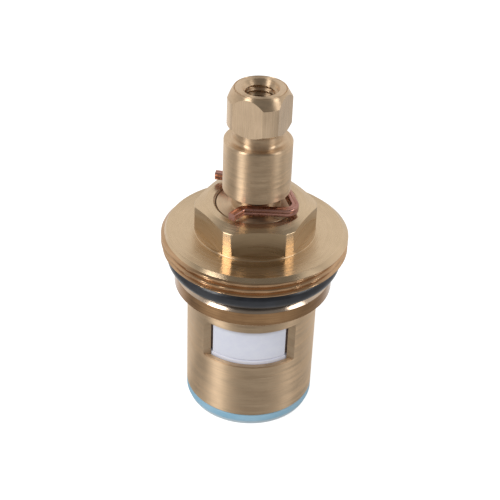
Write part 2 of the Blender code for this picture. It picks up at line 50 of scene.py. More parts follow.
# Parts of a turned piece, a sector, an O-ring's section, a fillet, and the clip's bend and sweep
STEPS = 192
SECTOR_STEPS = 24
RING_STEPS = 32
FILLET_STEPS = 9
BEND_STEPS = 14
SWEEP_STEPS = 24
KNEE_STEPS = 6

# How far a cutter reaches past what it cuts, and a joined piece into what it joins
PAST = 1.0
OVERLAP = 0.5

# Heights and radii of the housing, as in the CAD
BODY_R = 10.0
TURNED_EDGE = 0.12
CHAMBER_R = 9.25
CHAMBER_CHAMFER = 0.2
BORE_R = 6.0
BORE_CHAMFER = 0.3
LIP_R = 12.0
GROOVE_R = 10.05
FLANGE_R = 14.0
FLANGE_TOP_R = 13.2
FLANGE_CHAMFER = 0.25
HEX_R = 9.05
HEX_TOP_R = 7.4
HEX_ACROSS = 16.4
HEX_YAW = radians(4.3)
BASE_Z = 2.1
LIP_Z = 21.25
LIP_CHAMFER = 0.8
LIP_EDGE_Z = 23.4
SHOULDER_Z = 22.8
FLANGE_Z = 27.6
FLANGE_SHOULDER_Z = 30.1
FLANGE_TOP_Z = 30.6
HEX_FLATS_Z = 31.0
HEX_SHOULDER_Z = 34.6
HOUSING_TOP_Z = 35.2
WINDOW_LOW_Z = 11.7
WINDOW_HIGH_Z = 18.3
WINDOW_CHORD_Y = 7.2
WINDOW_YAW = radians(-1.4)
SILL_BREAK = 0.12
SILL_SPAN = radians(84.0)

# Heights and radii of the spindle, as in the CAD
JOURNAL_R = 5.85
JOURNAL_TOP_Z = 35.0
SPINDLE_EDGE = 0.1
CLIP_GROOVE_R = 3.65
STEM_R = 5.0
STEM_Z = 37.6
STEM_TOP_Z = 45.75
STEM_CHAMFER = 0.2
NECK_R = 3.6
NECK_FILLET = 0.5
SQUARE_R = 4.65
SQUARE_EDGE = 0.05
SQUARE_ACROSS = 8.0
SQUARE_YAW = radians(-24.5 + 45.0)
SQUARE_Z = 47.55
SQUARE_FOOT = 0.65
SQUARE_CHAMFER = 1.45
SQUARE_FACE_R = 3.825
TOP_Z = 53.7
HOLE_R = 2.1
SINK_R = 2.7
SINK_DEPTH = 0.6
SINK_EDGE = (0.12, 0.06)
HOLE_DEPTH = 10.5
DRILL_POINT = 1.2
RING_GROOVE_R = 4.45
RING_GROOVE_HALF = 1.15
SPINDLE_RING_Z = (29.0, 24.9)
DRIVE_Z = 20.4
DRIVE_TOP_Z = 22.1
DRIVE_CORE_R = 7.2
WING_R = 8.95
WING_SPAN = radians(47.6)
TONGUE_Z = 17.8
TONGUE_HALF = (1.45, 6.15)

# Line turned round the head's end: distance in from its edge, then depth
END_LINE = [(0.24, 0.0), (0.15, 0.24), (0.06, 0.03), (0.0, 0.05)]

# Threads: pitch, depth, where they start, a profile's step, and how far in the rim counts
FLANGE_PITCH = 1.0
FLANGE_THREAD_DEPTH = 0.5
FLANGE_THREAD_START = 0.15
FLANGE_THREAD_STEP = 0.04
FLANGE_RIM = 0.9
SCREW_PITCH = 0.8
SCREW_THREAD_DEPTH = 0.4
SCREW_THREAD_START = 0.3
SCREW_THREAD_STEP = 0.05
THREAD_CREST = 0.125
THREAD_ROOT = 0.25

# Clip: its wire, then its plan from the front leg's tip round the spindle to the rear tip
CLIP_WIRE = 1.15
CLIP_DENT = 0.035
CLIP_DENT_ENDS = (-0.2, 0.25)
CLIP_CORNER = (0.72, 0.9)
CLIP_Z = 36.3
CLIP_TIP_X = -3.4
CLIP_KNEE_X = -1.9
CLIP_FLARE = 1.9
CLIP_KNEE_R = 1.2
CLIP_LEG_Y = 4.5
CLIP_BEND_R = 1.5
CLIP_REAR_R = 4.65
CLIP_REAR_START = radians(16.0)
CLIP_TAIL_X = -6.2
CLIP_TAIL_BEND = 3.3
CLIP_TAIL_FLARE = 0.6
CLIP_TAIL_R = 4.0

# Rings and seal, as in the CAD
RING_R = 11.65
RING_SECTION_R = 1.5
RING_Z = 26.0
SEAL_TOP_Z = 8.4
SEAL_BORE_R = 7.3
SEAL_BORE_Z = 0.5
SEAL_FOOT_R = (8.3, 9.6)
SEAL_FOOT_Z = 1.0
SEAL_GAP = 0.1
SEAL_EDGE = 0.3

# Discs, as in the CAD, with the recess edges that show at the window's sides
DISC_R = 9.1
DISC_EDGE = 0.25
FIXED_DISC_Z = 8.5
DISC_FACE_Z = 12.3
PORT_R = 2.2
PORT_RIM = 1.7
PORT_WIDTH = radians(70.0)
MOVING_DISC_Z = 12.4
MOVING_DISC_TOP_Z = 20.3
MOVING_DISC_R = 9.2
RECESS_R = 2.6
RECESS_WIDTH = radians(94.0)
RECESS_TOP_Z = 18.5
LEDGE_R = 8.75
LEDGE_WIDTH = radians(107.0)
SLOT_Z = 17.7
SLOT_HALF = (1.6, 6.3)

# Noise mostly lies in this span, and tones change inside the narrower one
NOISE_SPAN = (0.3, 0.7)
TONE_STOPS = (0.35, 0.65)

# Noise for metal: scale, detail, roughness. Fine and broad follow the tool lines.
FINE_NOISE = (6.0, 3.0, 0.65)
BROAD_NOISE = (2.2, 2.0, 0.5)
PATCH_NOISE = (260.0, 3.0, 0.6)
LINE_SHARE = 0.35
PATCH_SHARE = 0.3
METAL_GLOSS = (0.8, 1.25)

# How fast the noise runs along rings, and across and along a bar's lines
RING_COURSE = 0.45
BAR_ACROSS = 4.5
BAR_COURSE = 0.05
QUARTER_TURN = 0.25

# Grain of other materials: detail and roughness, the clouds' share of its scale, gloss
GRAIN = (3.0, 0.6)
CLOUD_SCALE = 0.2
GRAIN_GLOSS = (0.85, 1.15)

# The photograph's camera, fitted to the turned circles
CAMERA_ELEVATION = radians(34.169)
CAMERA_ROLL = radians(2.275)
CAMERA_AIM = (0.0, 0.0, 20.1)
CAMERA_DISTANCE = 184.49
CAMERA_LEFT = 0.59
CAMERA_UP = 5.24
CAMERA_LENS = 86.155
CAMERA_SENSOR = 36.0
CAMERA_NEAREST = 0.01

# Lamps: name, place in metres, size and power
LAMP_AIM = (0.0, 0.0, 0.025)
LAMPS = [
    ("left_soft_light", (-0.455, -0.345, 0.35), (0.22, 0.5), 2.0),
    ("right_soft_light", (0.53, -0.215, 0.33), (0.22, 0.34), 0.85),
]

# The room: its plain light, what metal sees in front and how much more behind
PLAIN_LIGHT = 0.36
ROOM_FRONT = 0.22
ROOM_REAR = 0.7
ROOM_HEIGHT = (0.6, 0.9)
ROOM_DEPTH = (-0.45, 0.25)
FLOOR_HALF = 400.0
FLOOR_Z = -0.02
FLOOR_ROUGHNESS = 0.9
FLOOR_COLOUR = 0.8
FLOOR_GLOW = 0.7

# How bright metal sees the floor: bearing in degrees from the front, right side positive, then the
# level beside the cartridge and the level further out
FLOOR_SHEEN = [
    (-180, 1.0, 1.0), (-128, 1.0, 1.0), (-106, 0.95, 0.48), (-86, 0.38, 0.43), (-72, 0.38, 0.57),
    (-60, 0.62, 0.84), (-47, 0.74, 0.82), (-35, 0.64, 0.6), (-23, 0.6, 0.58), (0, 0.5, 0.57),
    (23, 0.52, 0.64), (35, 0.56, 0.62), (47, 0.5, 0.6), (60, 0.42, 0.5), (74, 0.42, 0.42),
    (89, 0.47, 0.48), (106, 0.62, 0.57), (128, 0.85, 0.58), (180, 1.0, 0.9),
]
SHEEN_NEAR = 0.03
SHEEN_FAR = 0.055

# Limits of the painted places
UPRIGHT = 0.1
NEAR = 0.1
RIM_INSIDE_R = 11.0
LIP_EDGE_BAND = 0.3

# Rounded corners: the most of a side they take, the angle that needs none, and the least reach
CORNER_SHARE = 0.4
NEARLY_STRAIGHT = radians(172.0)
LEAST_REACH = 0.01


def rounded(points, radius, closed=True, parts=3):
    """The same outline with each corner replaced by a small arc of about that radius."""
    made = []
    count = len(points)
    for i, point in enumerate(points):
        here = Vector(point)
        if not closed and i in (0, count - 1):
            made.append(point)
            continue
        back = Vector(points[i - 1]) - here
        ahead = Vector(points[(i + 1) % count]) - here
        angle = back.angle(ahead)
        longest = min(back.length, ahead.length) * CORNER_SHARE
        reach = min(radius / tan(angle / 2), longest)
        bow = reach * tan(angle / 2)
        if angle > NEARLY_STRAIGHT or reach < LEAST_REACH:
            made.append(point)
            continue
        start = here + back.normalized() * reach
        end = here + ahead.normalized() * reach
        middle = (back.normalized() + ahead.normalized()).normalized()
        centre = here + middle * sqrt(bow * bow + reach * reach)
        first, last = start - centre, end - centre
        sweep = first.angle_signed(last)
        for k in range(parts + 1):
            turn = Matrix.Rotation(-sweep * k / parts, 2)
            made.append(tuple(centre + turn @ first))
    return made


def mesh_object(name, verts, faces):
    """A mesh object in metres from millimetre points, welded, with its faces turned outwards."""
    mesh = bpy.data.meshes.new(name)
    mesh.from_pydata([(x * MM, y * MM, z * MM) for x, y, z in verts], [], faces)
    tidy = bmesh.new()
    tidy.from_mesh(mesh)
    bmesh.ops.remove_doubles(tidy, verts=tidy.verts, dist=WELD)
    bmesh.ops.recalc_face_normals(tidy, faces=tidy.faces)
    tidy.to_mesh(mesh)
    tidy.free()
    obj = bpy.data.objects.new(name, mesh)
    bpy.context.scene.collection.objects.link(obj)
    return obj


def lathe(name, profile, steps=STEPS, closed=True, shift=None, yaw=0.0):
    """A turned mesh from a profile of (radius, height). shift(r, z, angle) may change a radius."""
    verts = []
    for i in range(steps):
        angle = yaw + 2 * pi * i / steps
        for radius, z in profile:
            r = shift(radius, z, angle) if shift else radius
            verts.append((r * cos(angle), r * sin(angle), z))
    size = len(profile)
    spans = size if closed else size - 1
    faces = []
    for i in range(steps):
        j = (i + 1) % steps
        for k in range(spans):
            m = (k + 1) % size
            faces.append((i * size + k, j * size + k, j * size + m, i * size + m))
    return mesh_object(name, verts, faces)


def box(name, low, high):
    """A box between two corners."""
    (x0, y0, z0), (x1, y1, z1) = low, high
    verts = [(x, y, z) for z in (z0, z1) for y in (y0, y1) for x in (x0, x1)]
    faces = [(0, 2, 3, 1), (4, 5, 7, 6), (0, 1, 5, 4), (2, 6, 7, 3), (0, 4, 6, 2), (1, 3, 7, 5)]
    return mesh_object(name, verts, faces)


def sector(name, inner, outer, centre, width, low, high):
    """A prism over a ring's sector."""
    turns = [width * i / SECTOR_STEPS for i in range(SECTOR_STEPS + 1)]
    ring = [(outer, centre - width / 2 + turn) for turn in turns]
    ring += [(inner, centre + width / 2 - turn) for turn in turns]
    points = [(r * cos(a), r * sin(a)) for r, a in ring]
    size = len(points)
    verts = [(x, y, low) for x, y in points] + [(x, y, high) for x, y in points]
    faces = [tuple(range(size)), tuple(range(size, 2 * size))]
    faces += [(i, (i + 1) % size, size + (i + 1) % size, size + i) for i in range(size)]
    return mesh_object(name, verts, faces)


def combine(obj, other, operation="DIFFERENCE"):
    """Applies a Boolean of obj with other, and removes other."""
    modifier = obj.modifiers.new("cut", "BOOLEAN")
    modifier.operation = operation
    modifier.solver = "EXACT"
    modifier.object = other
    bpy.context.view_layer.update()
    graph = bpy.context.evaluated_depsgraph_get()
    mesh = bpy.data.meshes.new_from_object(obj.evaluated_get(graph))
    obj.modifiers.clear()
    obj.data = mesh
    bpy.data.objects.remove(other)


def flats(sides, across, low, high, yaw):
    """A ring with a hole of so many flat sides, which mills flats on a round bar."""
    inner = across / 2 / cos(pi / sides)
    outer = across + PAST
    profile = [(outer, high), (outer, low), (inner, low), (inner, high)]
    return lathe("flats_cutter", profile, sides, yaw=yaw)


def dress(obj, body, finishes, replaced):
    mesh = obj.data
    mesh.materials.clear()
    for finish in finishes:
        mesh.materials.append(finish)
    mesh.shade_smooth()
    mesh.set_sharp_from_angle(angle=SHARP)
    weighted = obj.modifiers.new("Even shading", "WEIGHTED_NORMAL")
    weighted.keep_sharp = True
    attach(obj, body)
    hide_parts(*replaced)


def paint(obj, finish, test):
    """Gives a finish to the faces whose middle, in millimetres, and normal pass the test."""
    index = list(obj.data.materials).index(finish)
    for face in obj.data.polygons:
        if test(face.center / MM, face.normal):
            face.material_index = index


def thread(pitch, depth, z, angle):
    """How deep an M thread is cut at a height and an angle. Its crest passes height 0 at angle 0."""
    turn = (z / pitch - angle / (2 * pi)) % 1.0
    from_root = abs(turn - 0.5) * 2
    slope = (1.0 - THREAD_CREST - from_root) / (1.0 - THREAD_CREST - THREAD_ROOT)
    return depth * min(1.0, max(0.0, slope))


def rows(radius, high, low, step):
    """Profile points down a straight wall, close enough together to carry a thread."""
    count = round((high - low) / step)
    return [(radius, high + (low - high) * i / count) for i in range(count + 1)]


def flange_thread(radius, z, angle):
    """Cuts the flange's rim to its thread."""
    if radius < FLANGE_R - FLANGE_RIM or not FLANGE_Z <= z <= FLANGE_TOP_Z:
        return radius
    depth = thread(FLANGE_PITCH, FLANGE_THREAD_DEPTH, z - FLANGE_THREAD_START, angle)
    return min(radius, FLANGE_R - depth)


def screw_thread(radius, z, angle):
    """Widens the screw hole to its thread."""
    if radius > SINK_R or not TOP_Z - HOLE_DEPTH <= z <= TOP_Z - SCREW_THREAD_START:
        return radius
    return max(radius, HOLE_R + thread(SCREW_PITCH, SCREW_THREAD_DEPTH, -z, -angle))


def make_housing():
    """Turned body: spanner hexagon, threaded flange, ring groove, lip, sleeve and windows."""
    upper = rounded(
        [
            (BORE_R + BORE_CHAMFER, HOUSING_TOP_Z),
            (HEX_TOP_R, HOUSING_TOP_Z),
            (HEX_R, HEX_SHOULDER_Z),
            (HEX_R, FLANGE_TOP_Z),
            (FLANGE_TOP_R, FLANGE_TOP_Z),
            (FLANGE_R, FLANGE_SHOULDER_Z),
        ],
        TURNED_EDGE,
        closed=False,
    )
    rim = rows(
        FLANGE_R, FLANGE_SHOULDER_Z - FLANGE_THREAD_STEP, FLANGE_Z + FLANGE_CHAMFER,
        FLANGE_THREAD_STEP,
    )
    lower = rounded(
        [
            (FLANGE_R - FLANGE_CHAMFER, FLANGE_Z),
            (GROOVE_R, FLANGE_Z),
            (GROOVE_R, LIP_EDGE_Z + LIP_CHAMFER),
            (LIP_R - LIP_CHAMFER, LIP_EDGE_Z + LIP_CHAMFER),
            (LIP_R, LIP_EDGE_Z),
            (LIP_R, LIP_Z),
            (BODY_R, LIP_Z),
            (BODY_R, BASE_Z),
            (CHAMBER_R + CHAMBER_CHAMFER, BASE_Z),
            (CHAMBER_R, BASE_Z + CHAMBER_CHAMFER),
            (CHAMBER_R, SHOULDER_Z),
            (BORE_R + BORE_CHAMFER, SHOULDER_Z),
            (BORE_R, SHOULDER_Z + BORE_CHAMFER),
            (BORE_R, HOUSING_TOP_Z - BORE_CHAMFER),
        ],
        TURNED_EDGE,
        closed=False,
    )
    housing = lathe("housing", upper + rim + lower, shift=flange_thread)
    combine(housing, flats(6, HEX_ACROSS, HEX_FLATS_Z, HOUSING_TOP_Z + PAST, HEX_YAW))
    for side in (-1, 1):
        y_low, y_high = sorted((side * WINDOW_CHORD_Y, side * (BODY_R + PAST)))
        window = box(
            "window_cutter", (-BODY_R, y_low, WINDOW_LOW_Z), (BODY_R, y_high, WINDOW_HIGH_Z)
        )
        window.rotation_euler.z = WINDOW_YAW
        combine(housing, window)
        sill = sector(
            "sill_cutter", BODY_R - SILL_BREAK, BODY_R + PAST, side * pi / 2 + WINDOW_YAW,
            SILL_SPAN, WINDOW_LOW_Z - SILL_BREAK, WINDOW_LOW_Z + PAST,
        )
        combine(housing, sill)
    return housing


def make_spindle():
    """Turned shaft: tapped hole, handle square, neck, stem, clip groove, journal and drive."""
    hole_floor = TOP_Z - HOLE_DEPTH
    wall = rows(HOLE_R, TOP_Z - SINK_DEPTH, hole_floor, SCREW_THREAD_STEP)
    hole = [(0.0, hole_floor - DRILL_POINT), *reversed(wall)]
    outer = [
        (SINK_R, TOP_Z - SINK_EDGE[1]),
        (SINK_R + SINK_EDGE[0], TOP_Z),
        *((SQUARE_FACE_R - inset, TOP_Z - depth) for inset, depth in END_LINE),
        (SQUARE_R, TOP_Z - SQUARE_CHAMFER),
        (SQUARE_R, SQUARE_Z + SQUARE_FOOT),
        (SQUARE_R - SQUARE_FOOT, SQUARE_Z),
        (NECK_R, SQUARE_Z),
    ]
    neck = [
        (NECK_R + NECK_FILLET * (1 - cos(a)), STEM_TOP_Z + NECK_FILLET * (1 - sin(a)))
        for a in (pi / 2 * i / FILLET_STEPS for i in range(FILLET_STEPS + 1))
    ]
    stem = [
        (STEM_R - STEM_CHAMFER, STEM_TOP_Z),
        (STEM_R, STEM_TOP_Z - STEM_CHAMFER),
        (STEM_R, STEM_Z),
        (CLIP_GROOVE_R, STEM_Z),
        (CLIP_GROOVE_R, JOURNAL_TOP_Z),
        (JOURNAL_R, JOURNAL_TOP_Z),
    ]
    for centre in SPINDLE_RING_Z:
        stem += [
            (JOURNAL_R, centre + RING_GROOVE_HALF),
            (RING_GROOVE_R, centre + RING_GROOVE_HALF),
            (RING_GROOVE_R, centre - RING_GROOVE_HALF),
            (JOURNAL_R, centre - RING_GROOVE_HALF),
        ]
    stem += [
        (JOURNAL_R, DRIVE_TOP_Z),
        (DRIVE_CORE_R, DRIVE_TOP_Z),
        (DRIVE_CORE_R, DRIVE_Z),
        (0.0, DRIVE_Z),
    ]
    profile = hole + rounded(outer, SQUARE_EDGE, closed=False) + neck
    profile += rounded(stem, SPINDLE_EDGE, closed=False)
    spindle = lathe("spindle_shaft", profile, closed=False, shift=screw_thread)
    combine(spindle, flats(4, SQUARE_ACROSS, SQUARE_Z - SPINDLE_EDGE, TOP_Z + PAST, SQUARE_YAW))
    for side in (-1, 1):
        wing = sector(
            "wing", DRIVE_CORE_R - PAST, WING_R, side * pi / 2, WING_SPAN, DRIVE_Z, DRIVE_TOP_Z
        )
        combine(spindle, wing, "UNION")
    x, y = TONGUE_HALF
    combine(spindle, box("tongue", (-x, -y, TONGUE_Z), (x, y, DRIVE_Z + OVERLAP)), "UNION")
    return spindle


def clip_plan():
    """Plan of the clip's centreline, from the tip of the front leg round to the rear tip."""
    leg, rear, bend, start = CLIP_LEG_Y, CLIP_REAR_R, CLIP_BEND_R, CLIP_REAR_START
    centre_y = bend - leg
    centre_x = (rear - bend - centre_y * sin(start)) / cos(start)
    front = [(CLIP_TIP_X, -leg - CLIP_FLARE), (CLIP_KNEE_X, -leg), (centre_x, -leg)]
    front = rounded(front, CLIP_KNEE_R, closed=False, parts=KNEE_STEPS)
    turn = [(start + pi / 2) * i / BEND_STEPS - pi / 2 for i in range(BEND_STEPS + 1)]
    bow = [(centre_x + bend * cos(a), centre_y + bend * sin(a)) for a in turn]
    sweep = [start + (pi / 2 - start) * i / SWEEP_STEPS for i in range(SWEEP_STEPS + 1)]
    back = [(rear * cos(a), rear * sin(a)) for a in sweep]
    tail_end = (CLIP_TAIL_X, rear + CLIP_TAIL_FLARE)
    tail = [(0.0, rear), (CLIP_TAIL_X + CLIP_TAIL_BEND, rear), tail_end]
    tail = rounded(tail, CLIP_TAIL_R, closed=False, parts=KNEE_STEPS)
    return front[:-1] + bow[:-1] + back + tail[1:]


def clip_section():
    """Rounded square section of the wire, with a shallow drawn line along each side."""
    half = CLIP_WIRE / 2
    dent_low, dent_high = (half * share for share in CLIP_DENT_ENDS)
    edge, corner = (half * share for share in CLIP_CORNER)
    side = [(half, dent_low), (half - CLIP_DENT, 0.0), (half, dent_high)]
    side += [(half, edge), (corner, corner), (edge, half)]
    turns = [Matrix.Rotation(turn * pi / 2, 2) for turn in range(4)]
    return [turn @ Vector(point) for turn in turns for point in side]


def make_clip():
    """Square bronze wire swept along its plan."""
    plan = [Vector(p) for p in clip_plan()]
    section = clip_section()
    verts = []
    for i, here in enumerate(plan):
        ahead = (plan[min(i + 1, len(plan) - 1)] - plan[max(i - 1, 0)]).normalized()
        across = Vector((ahead.y, -ahead.x))
        for u, w in section:
            place = here + across * u
            verts.append((place.x, place.y, CLIP_Z + w))
    size = len(section)
    faces = [tuple(range(size)), tuple(range(len(verts) - size, len(verts)))]
    for i in range(len(plan) - 1):
        for k in range(size):
            m = (k + 1) % size
            faces.append((i * size + k, i * size + m, (i + 1) * size + m, (i + 1) * size + k))
    return mesh_object("clip", verts, faces)


def ring_profile(radius, section, height):
    """Profile of an O-ring."""
    angles = [2 * pi * i / RING_STEPS for i in range(RING_STEPS)]
    return [(radius + section * cos(a), height - section * sin(a)) for a in angles]


def make_moving_disc():
    """Thick disc with two side recesses and a drive slot."""
    profile = rounded(
        [
            (0.0, MOVING_DISC_TOP_Z),
            (MOVING_DISC_R, MOVING_DISC_TOP_Z),
            (MOVING_DISC_R, MOVING_DISC_Z),
            (0.0, MOVING_DISC_Z),
        ],
        DISC_EDGE,
        closed=False,
    )
    disc = lathe("moving_disc", profile, closed=False)
    for side in (WINDOW_YAW, WINDOW_YAW + pi):
        for inner, width in ((RECESS_R, RECESS_WIDTH), (LEDGE_R, LEDGE_WIDTH)):
            recess = sector(
                "recess_cutter", inner, DISC_R + PAST, side, width, MOVING_DISC_Z - PAST,
                RECESS_TOP_Z,
            )
            combine(disc, recess)
    x, y = SLOT_HALF
    combine(disc, box("slot_cutter", (-x, -y, SLOT_Z), (x, y, MOVING_DISC_TOP_Z + PAST)))
    return disc


def make_fixed_disc():
    """Disc with two ports under the windows."""
    profile = rounded(
        [(0.0, DISC_FACE_Z), (DISC_R, DISC_FACE_Z), (DISC_R, FIXED_DISC_Z), (0.0, FIXED_DISC_Z)],
        DISC_EDGE,
        closed=False,
    )
    disc = lathe("fixed_disc", profile, closed=False)
    for side in (-1, 1):
        port = sector(
            "port_cutter", PORT_R, DISC_R - PORT_RIM, side * pi / 2, PORT_WIDTH,
            FIXED_DISC_Z - PAST, DISC_FACE_Z + PAST,
        )
        combine(disc, port)
    return disc


def make_seal():
    """Stepped silicone ring with rounded edges."""
    profile = rounded(
        [
            (SEAL_BORE_R, SEAL_TOP_Z),
            (DISC_R, SEAL_TOP_Z),
            (DISC_R, BASE_Z - SEAL_GAP),
            (BODY_R, BASE_Z - SEAL_GAP),
            (BODY_R, SEAL_FOOT_Z),
            (SEAL_FOOT_R[1], 0.0),
            (SEAL_FOOT_R[0], 0.0),
            (SEAL_BORE_R, SEAL_BORE_Z),
        ],
        SEAL_EDGE,
    )
    return lathe("seal", profile)


def tree_of(name):
    """A new material, its nodes and links, and its shader."""
    made = bpy.data.materials.new(name)
    made.use_nodes = True
    nodes = made.node_tree.nodes
    return made, nodes, made.node_tree.links, nodes["Principled BSDF"]


def math(nodes, links, operation, first, second=None, third=None):
    """A Math node. Each input may be a number or a socket."""
    node = nodes.new("ShaderNodeMath")
    node.operation = operation
    for socket, value in zip(node.inputs, (first, second, third)):
        if value is None:
            continue
        if isinstance(value, (int, float)):
            socket.default_value = value
        else:
            links.new(value, socket)
    return node.outputs[0]


def noise(nodes, links, vector, scale, detail, roughness):
    """A Noise node's value."""
    node = nodes.new("ShaderNodeTexNoise")
    links.new(vector, node.inputs["Vector"])
    node.inputs["Scale"].default_value = scale
    node.inputs["Detail"].default_value = detail
    node.inputs["Roughness"].default_value = roughness
    return node.outputs["Fac"]


def ramp(nodes, links, factor, stops):
    """A colour ramp. stops are (position, colour)."""
    stops = list(stops)
    node = nodes.new("ShaderNodeValToRGB")
    elements = node.color_ramp.elements
    while len(elements) < len(stops):
        elements.new(0.5)
    for element, (position, colour) in zip(elements, stops):
        element.position = position
        element.color = (*colour, 1.0)
    links.new(factor, node.inputs["Fac"])
    return node.outputs["Color"]


def between(nodes, links, value, given, wanted):
    """Maps a value from one range to another, smoothly and without going beyond it."""
    node = nodes.new("ShaderNodeMapRange")
    node.interpolation_type = "SMOOTHSTEP"
    links.new(value, node.inputs["Value"])
    for name, number in zip(("From Min", "From Max", "To Min", "To Max"), (*given, *wanted)):
        node.inputs[name].default_value = number
    return node.outputs["Result"]


def blend(nodes, links, share, first, second):
    """Mixes two colours. second may be a plain colour."""
    node = nodes.new("ShaderNodeMix")
    node.data_type = "RGBA"
    colours = [socket for socket in node.inputs if socket.type == "RGBA"]
    links.new(share, node.inputs[0])
    links.new(first, colours[0])
    if isinstance(second, tuple):
        colours[1].default_value = (*second, 1.0)
    else:
        links.new(second, colours[1])
    return next(socket for socket in node.outputs if socket.type == "RGBA")


def gloss(nodes, links, factor, roughness, shares):
    """Varies a roughness between two shares of it, by a noise."""
    return between(nodes, links, factor, NOISE_SPAN, [roughness * share for share in shares])


def bump(nodes, links, shader, height, distance):
    """Raises a shader's surface by a height's noise."""
    node = nodes.new("ShaderNodeBump")
    node.inputs["Distance"].default_value = distance
    node.inputs["Strength"].default_value = 1.0
    links.new(height, node.inputs["Height"])
    links.new(node.outputs["Normal"], shader.inputs["Normal"])


def radius_of(nodes, links, parts):
    """Distance from the spindle's axis."""
    squares = [math(nodes, links, "MULTIPLY", part, part) for part in parts[:2]]
    return math(nodes, links, "POWER", math(nodes, links, "ADD", *squares), 0.5)


def turned_metal(name, dark, light, roughness, stretch, lines, along="rings"):
    """Metal with fine tool lines: rings round the axis, or lines along it as on drawn bar."""
    made, nodes, links, shader = tree_of(name)
    place = nodes.new("ShaderNodeTexCoord").outputs["Object"]
    parts = nodes.new("ShaderNodeSeparateXYZ")
    links.new(place, parts.inputs[0])
    x, y, z = parts.outputs
    angle = math(nodes, links, "ARCTAN2", y, x)
    radius = radius_of(nodes, links, parts.outputs)
    if along == "rings":
        across = math(nodes, links, "MULTIPLY", math(nodes, links, "ADD", z, radius), 1.0 / MM)
        course = math(nodes, links, "MULTIPLY", angle, RING_COURSE)
    else:
        across = math(nodes, links, "MULTIPLY", angle, BAR_ACROSS)
        course = math(nodes, links, "MULTIPLY", z, BAR_COURSE / MM)
    vector = nodes.new("ShaderNodeCombineXYZ")
    links.new(across, vector.inputs[0])
    links.new(course, vector.inputs[1])
    fine = noise(nodes, links, vector.outputs[0], *FINE_NOISE)
    broad = noise(nodes, links, vector.outputs[0], *BROAD_NOISE)
    patches = noise(nodes, links, place, *PATCH_NOISE)
    tone = math(nodes, links, "MULTIPLY", math(nodes, links, "ADD", fine, broad), LINE_SHARE)
    patches = math(nodes, links, "MULTIPLY", patches, PATCH_SHARE)
    tone = math(nodes, links, "ADD", tone, patches)
    colour = ramp(nodes, links, tone, zip(TONE_STOPS, (dark, light)))
    links.new(colour, shader.inputs["Base Color"])
    shader.inputs["Metallic"].default_value = 1.0
    varied = gloss(nodes, links, broad, roughness, METAL_GLOSS)
    links.new(varied, shader.inputs["Roughness"])
    bump(nodes, links, shader, fine, lines * MM)
    tangent = nodes.new("ShaderNodeTangent")
    tangent.direction_type = "RADIAL"
    tangent.axis = "Z"
    links.new(tangent.outputs[0], shader.inputs["Tangent"])
    shader.inputs["Anisotropic"].default_value = stretch
    turned = QUARTER_TURN if along == "rings" else 0.0
    shader.inputs["Anisotropic Rotation"].default_value = turned
    return made


def speckled(name, colours, roughness, scale, relief, metallic=0.0, painted_light_bands=(), coat=(0.0, 0.0)):
    """A material with slight cloudiness and grain. painted_light_bands are (height from, height to,
    colour): painted light and shade blended in between the two heights.
    """
    made, nodes, links, shader = tree_of(name)
    place = nodes.new("ShaderNodeTexCoord").outputs["Object"]
    cloud = noise(nodes, links, place, scale * CLOUD_SCALE, *GRAIN)
    grain = noise(nodes, links, place, scale, *GRAIN)
    colour = ramp(nodes, links, cloud, zip(TONE_STOPS, colours))
    # Painted light and shade: each band blends its colour in by height
    for clear, full, painted_tone in painted_light_bands:
        parts = nodes.new("ShaderNodeSeparateXYZ")
        links.new(place, parts.inputs[0])
        share = between(nodes, links, parts.outputs[2], (clear * MM, full * MM), (0.0, 1.0))
        colour = blend(nodes, links, share, colour, painted_tone)
    links.new(colour, shader.inputs["Base Color"])
    varied = gloss(nodes, links, grain, roughness, GRAIN_GLOSS)
    links.new(varied, shader.inputs["Roughness"])
    shader.inputs["Metallic"].default_value = metallic
    if coat[0]:
        shader.inputs["Coat Weight"].default_value = coat[0]
        shader.inputs["Coat Roughness"].default_value = coat[1]
    bump(nodes, links, shader, grain, relief * MM)
    return made


def area_light(name, place, size, power):
    """A rectangular lamp that points at the object."""
    light = bpy.data.lights.new(name, "AREA")
    light.shape = "RECTANGLE"
    light.size, light.size_y = size
    light.energy = power
    obj = bpy.data.objects.new(name, light)
    obj.location = place
    obj.rotation_euler = (Vector(LAMP_AIM) - Vector(place)).to_track_quat("-Z", "Y").to_euler()
    bpy.context.scene.collection.objects.link(obj)


def make_camera():
    """The photograph's camera."""
    rise, roll = CAMERA_ELEVATION, CAMERA_ROLL
    right = Vector((1.0, 0.0, 0.0))
    up = Vector((0.0, sin(rise), cos(rise)))
    ahead = Vector((0.0, cos(rise), -sin(rise)))
    place = Vector(CAMERA_AIM) - ahead * CAMERA_DISTANCE - right * CAMERA_LEFT + up * CAMERA_UP
    right_rolled = right * cos(roll) + up * sin(roll)
    up_rolled = up * cos(roll) - right * sin(roll)
    data = bpy.data.cameras.new("photo_camera")
    data.sensor_width = CAMERA_SENSOR
    data.lens = CAMERA_LENS
    data.clip_start = CAMERA_NEAREST
    camera = bpy.data.objects.new("photo_camera", data)
    turn = Matrix((right_rolled, up_rolled, -ahead)).transposed()
    camera.matrix_world = Matrix.Translation(place * MM) @ turn.to_4x4()
    bpy.context.scene.collection.objects.link(camera)
    bpy.context.scene.camera = camera


def seen_directly(nodes, links):
    """1 for camera, glossy and transmission rays, which see the white background."""
    path = nodes.new("ShaderNodeLightPath").outputs
    both = math(nodes, links, "MAXIMUM", path["Is Camera Ray"], path["Is Glossy Ray"])
    return math(nodes, links, "MAXIMUM", both, path["Is Transmission Ray"])


